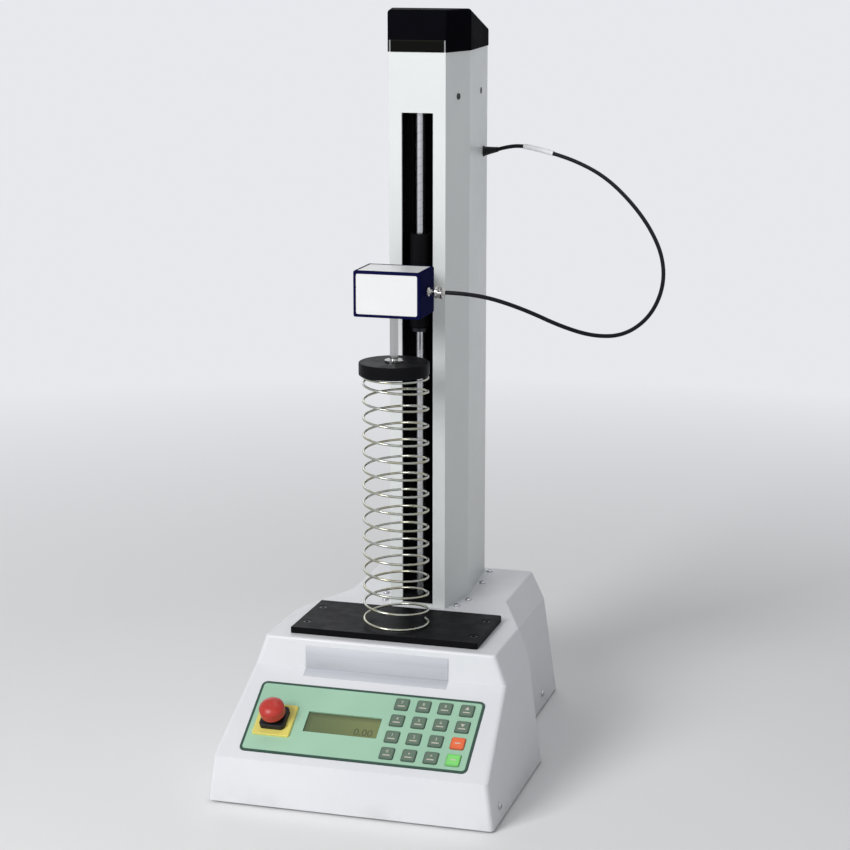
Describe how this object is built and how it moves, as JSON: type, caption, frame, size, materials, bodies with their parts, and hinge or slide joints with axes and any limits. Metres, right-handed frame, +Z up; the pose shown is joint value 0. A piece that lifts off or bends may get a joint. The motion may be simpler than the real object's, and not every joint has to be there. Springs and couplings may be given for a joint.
{
  "type": "spring testing machine",
  "caption": "Bench spring tester: a slotted column drives a load cell and round platen down on a coil spring, above a base with a sloped keypad panel and a stop button.",
  "frame": {"origin": "centre of the footprint, on the bench under the feet", "axes": "+X to the right seen from the front, +Y to the back, +Z up the column"},
  "size_m": [0.4661, 0.498, 0.8936],
  "materials": {
    "casing_paint": "satin",
    "column_paint": "satin",
    "frame_steel": "satin",
    "frame_aluminium": "satin",
    "bright_steel": "polished",
    "screw_steel": "satin",
    "spring_steel": "bright",
    "black_steel": "satin",
    "cell_navy": "satin",
    "black_plastic": "matte",
    "panel_film": "satin",
    "key_grey": "satin",
    "key_red": "satin",
    "key_green": "satin",
    "lcd_glass": "gloss",
    "stop_red": "gloss",
    "stop_yellow": "satin",
    "label_white": "satin",
    "brass": "satin",
    "board_green": "satin",
    "cable_rubber": "matte",
    "foot_rubber": "matte"
  },
  "bodies": {
    "base": {"base_casing": "casing_paint", "base_plate": "frame_steel", "rubber_feet": "foot_rubber", "button_screws": "screw_steel", "control_panel": "panel_film", "control_board": "board_green", "lcd_window": "lcd_glass", "lcd_module": "board_green", "estop_plate": "stop_yellow", "estop_body": "black_plastic", "bed_plate": "black_steel", "bed_screws": "black_steel", "deck_plate": "frame_steel", "deck_pillars": "frame_steel", "column_casing": "column_paint", "column_plugs": "black_plastic", "column_cap": "black_plastic", "column_spine": "black_steel", "guide_rods": "bright_steel", "screw_shroud": "black_steel", "lower_bearing_block": "black_steel", "upper_bearing_block": "black_steel", "drive_belt": "foot_rubber", "drive_motor": "black_steel", "test_spring": "spring_steel", "load_cell_cable": "cable_rubber", "cable_marker": "label_white", "cable_socket": "black_plastic", "mains_inlet": "black_plastic"},
    "crosshead": {"carriage": "black_steel", "ball_nut": "black_steel", "carriage_bushes": "brass", "load_cell_arm": "black_steel", "load_cell_body": "cell_navy", "load_cell_panels": "label_white", "load_cell_connector": "bright_steel", "plunger": "bright_steel", "upper_platen": "black_steel"},
    "screw": {"lead_screw": "bright_steel", "screw_pulley": "frame_aluminium"},
    "motor_rotor": {"motor_pulley": "frame_aluminium"},
    "stop_stem": {"estop_stem": "black_plastic"},
    "stop_head": {"estop_head": "stop_red"},
    "rocker": {"power_rocker": "black_plastic"},
    "button_01": {"key_01": "key_grey"},
    "button_02": {"key_02": "key_grey"},
    "button_03": {"key_03": "key_grey"},
    "button_04": {"key_04": "key_grey"},
    "button_05": {"key_05": "key_grey"},
    "button_06": {"key_06": "key_grey"},
    "button_07": {"key_07": "key_grey"},
    "button_08": {"key_08": "key_grey"},
    "button_09": {"key_09": "key_grey"},
    "button_10": {"key_10": "key_grey"},
    "button_11": {"key_11": "key_grey"},
    "button_12": {"key_12": "key_red"},
    "button_13": {"key_13": "key_grey"},
    "button_14": {"key_14": "key_grey"},
    "button_15": {"key_15": "key_grey"},
    "button_16": {"key_16": "key_green"}
  },
  "joints": [
    {"name": "crosshead_slide", "type": "slide", "parent": "base", "child": "crosshead", "axis": [0, 0, 1], "range_m": [-0.15, 0.14], "deforming": ["test_spring"]},
    {"name": "screw_spin", "type": "hinge", "parent": "base", "child": "screw", "pos_m": [0, 0.045, 0.1], "axis": [0, 0, 1], "range_deg": [-5500, 5200]},
    {"name": "motor_spin", "type": "hinge", "parent": "base", "child": "motor_rotor", "pos_m": [0, 0.15, 0.1], "axis": [0, 0, 1], "range_deg": [-8200, 7700]},
    {"name": "stop_push", "type": "slide", "parent": "base", "child": "stop_stem", "axis": [0, 0.538, -0.8429], "range_m": [0, 0.005]},
    {"name": "stop_twist", "type": "hinge", "parent": "stop_stem", "child": "stop_head", "pos_m": [-0.104, -0.20879, 0.1048], "axis": [0, 0.538, -0.8429], "range_deg": [0, 40], "stiffness_Nm_per_rad": 0.02},
    {"name": "power_rock", "type": "hinge", "parent": "base", "child": "rocker", "pos_m": [-0.0795, 0.23732, 0.08], "axis": [-1, 0, 0], "range_deg": [0, 12]},
    {"name": "press_01", "type": "slide", "parent": "base", "child": "button_01", "axis": [0, 0.538, -0.8429], "range_m": [0, 0.001], "stiffness_N_per_m": 400},
    {"name": "press_02", "type": "slide", "parent": "base", "child": "button_02", "axis": [0, 0.538, -0.8429], "range_m": [0, 0.001], "stiffness_N_per_m": 400},
    {"name": "press_03", "type": "slide", "parent": "base", "child": "button_03", "axis": [0, 0.538, -0.8429], "range_m": [0, 0.001], "stiffness_N_per_m": 400},
    {"name": "press_04", "type": "slide", "parent": "base", "child": "button_04", "axis": [0, 0.538, -0.8429], "range_m": [0, 0.001], "stiffness_N_per_m": 400},
    {"name": "press_05", "type": "slide", "parent": "base", "child": "button_05", "axis": [0, 0.538, -0.8429], "range_m": [0, 0.001], "stiffness_N_per_m": 400},
    {"name": "press_06", "type": "slide", "parent": "base", "child": "button_06", "axis": [0, 0.538, -0.8429], "range_m": [0, 0.001], "stiffness_N_per_m": 400},
    {"name": "press_07", "type": "slide", "parent": "base", "child": "button_07", "axis": [0, 0.538, -0.8429], "range_m": [0, 0.001], "stiffness_N_per_m": 400},
    {"name": "press_08", "type": "slide", "parent": "base", "child": "button_08", "axis": [0, 0.538, -0.8429], "range_m": [0, 0.001], "stiffness_N_per_m": 400},
    {"name": "press_09", "type": "slide", "parent": "base", "child": "button_09", "axis": [0, 0.538, -0.8429], "range_m": [0, 0.001], "stiffness_N_per_m": 400},
    {"name": "press_10", "type": "slide", "parent": "base", "child": "button_10", "axis": [0, 0.538, -0.8429], "range_m": [0, 0.001], "stiffness_N_per_m": 400},
    {"name": "press_11", "type": "slide", "parent": "base", "child": "button_11", "axis": [0, 0.538, -0.8429], "range_m": [0, 0.001], "stiffness_N_per_m": 400},
    {"name": "press_12", "type": "slide", "parent": "base", "child": "button_12", "axis": [0, 0.538, -0.8429], "range_m": [0, 0.001], "stiffness_N_per_m": 400},
    {"name": "press_13", "type": "slide", "parent": "base", "child": "button_13", "axis": [0, 0.538, -0.8429], "range_m": [0, 0.001], "stiffness_N_per_m": 400},
    {"name": "press_14", "type": "slide", "parent": "base", "child": "button_14", "axis": [0, 0.538, -0.8429], "range_m": [0, 0.001], "stiffness_N_per_m": 400},
    {"name": "press_15", "type": "slide", "parent": "base", "child": "button_15", "axis": [0, 0.538, -0.8429], "range_m": [0, 0.001], "stiffness_N_per_m": 400},
    {"name": "press_16", "type": "slide", "parent": "base", "child": "button_16", "axis": [0, 0.538, -0.8429], "range_m": [0, 0.001], "stiffness_N_per_m": 400}
  ],
  "couplings": [
    {"joint": "screw_spin", "follows": "crosshead_slide", "rad_per_m": 628.32},
    {"joint": "motor_spin", "follows": "crosshead_slide", "rad_per_m": 942.48}
  ]
}
